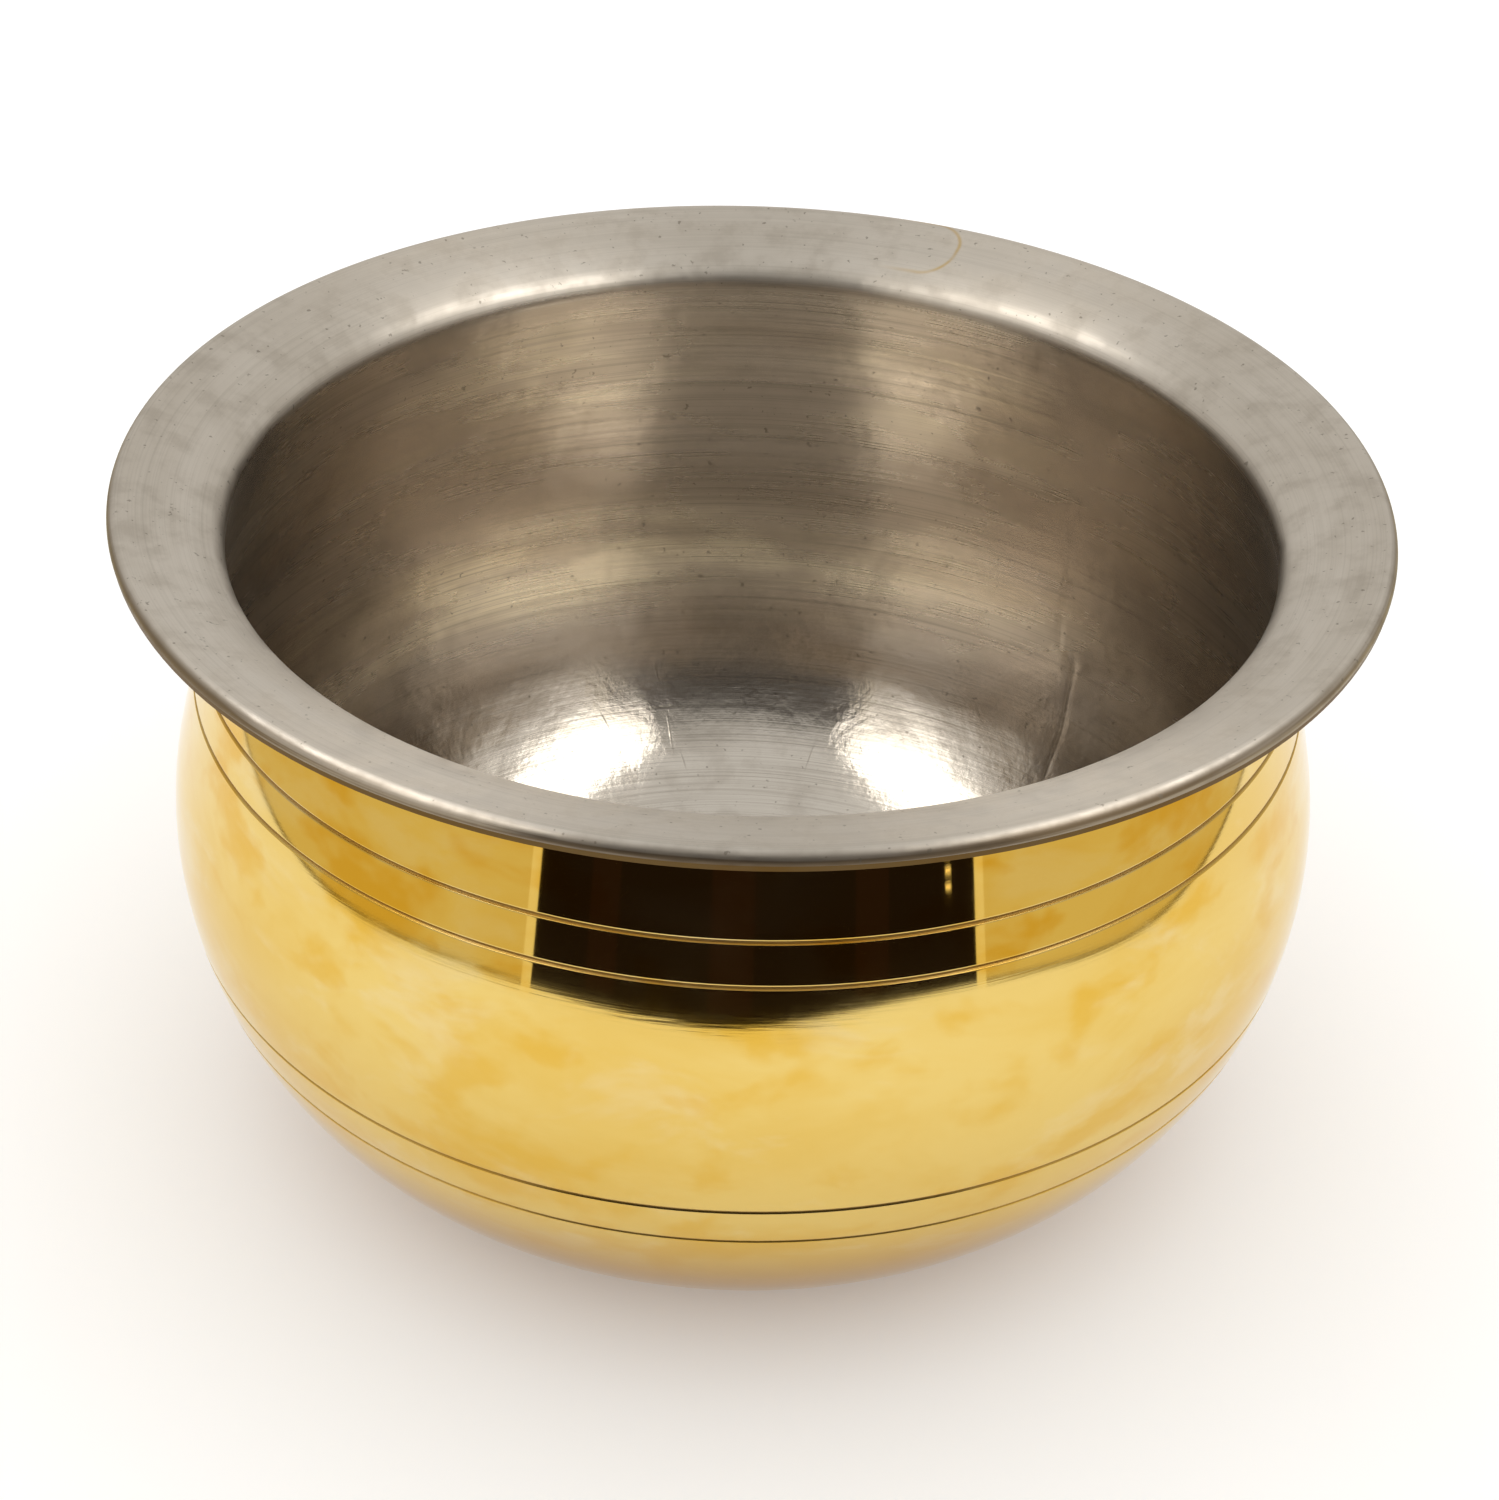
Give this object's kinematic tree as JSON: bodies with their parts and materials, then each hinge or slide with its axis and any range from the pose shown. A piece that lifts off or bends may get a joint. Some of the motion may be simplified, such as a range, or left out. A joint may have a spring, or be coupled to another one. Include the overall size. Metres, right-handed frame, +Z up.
{
  "type": "brass cooking pot",
  "caption": "Wide-mouthed round-bellied brass cooking pot with a flared rim, turned grooves and a tinned inside.",
  "frame": {"origin": "centre of the flat base, on the surface the pot stands on", "axes": "+Z up along the axis the pot is spun about; +Y towards the side with the wall seam and rim patch"},
  "size_m": [0.2, 0.2, 0.1136],
  "materials": {
    "brass_body": "spun and mirror-polished yellow brass with cloudy orange tarnish",
    "brazing_brass": "paler brazing brass, filed and polished flush",
    "tin_coat": null
  },
  "bodies": {
    "root": {"wall_sheet": "brass_body", "base_pan": "brass_body", "wall_seam_braze": "brazing_brass", "base_seam_braze": "brazing_brass", "rim_patch": "brass_body", "rim_patch_braze": "brazing_brass", "tin_lining": "tin_coat"}
  },
  "joints": []
}
